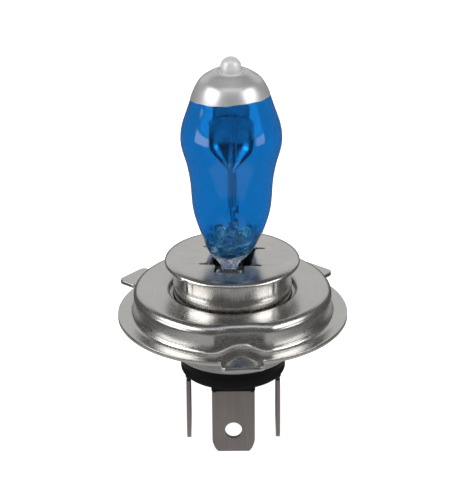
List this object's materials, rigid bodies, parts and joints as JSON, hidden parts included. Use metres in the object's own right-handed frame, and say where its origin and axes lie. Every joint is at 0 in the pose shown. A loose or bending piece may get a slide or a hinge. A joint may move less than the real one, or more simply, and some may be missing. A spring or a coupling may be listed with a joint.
{
  "type": "headlight bulb",
  "caption": "Two-filament halogen headlight bulb: blue waisted quartz envelope with a silver nose on a flanged steel base with lugs and flat blade terminals.",
  "frame": {"origin": "on the bulb's axis, in the plane of the flange's front face, which seats in the lamp", "axes": "+Z along the axis towards the painted nose; -Y towards the front blade, with the widest lug 4.3 degrees from it towards +X"},
  "size_m": [0.043, 0.0462, 0.0759],
  "materials": {
    "ring_steel": "bright rolled sheet, fine turning lines",
    "collar_steel": "bright drawn sheet, fine vertical drawing lines on the tube",
    "cup_steel": "bright drawn sheet",
    "black_moulding": "black, satin",
    "tinned_blade": "dull tinned brass, rolled grain",
    "blue_quartz": "clear blue coated quartz, polished",
    "silver_paint": "fine silver paint, satin",
    "clear_quartz": "clear quartz with press marks",
    "molybdenum": "drawn wire and foil, satin",
    "tungsten": "wound filament wire, satin"
  },
  "bodies": {
    "root": {"focus_ring": "ring_steel", "bulb_collar": "collar_steel", "base_cup": "cup_steel", "insulator": "black_moulding", "terminal_low_beam": "tinned_blade", "terminal_left": "tinned_blade", "terminal_right": "tinned_blade", "glass_envelope": "blue_quartz", "reflective_cap": "silver_paint", "exhaust_tip": "silver_paint", "press_seal": "clear_quartz", "filament_bridge": "clear_quartz", "foil_low_beam": "molybdenum", "foil_ground": "molybdenum", "foil_high_beam": "molybdenum", "lead_low_beam": "molybdenum", "lead_ground": "molybdenum", "lead_high_beam": "molybdenum", "shield_support_wire": "molybdenum", "low_beam_lead_wire": "molybdenum", "high_beam_lead_wire": "molybdenum", "shield_cup": "molybdenum", "low_beam_filament": "tungsten", "high_beam_filament": "tungsten"}
  },
  "joints": []
}
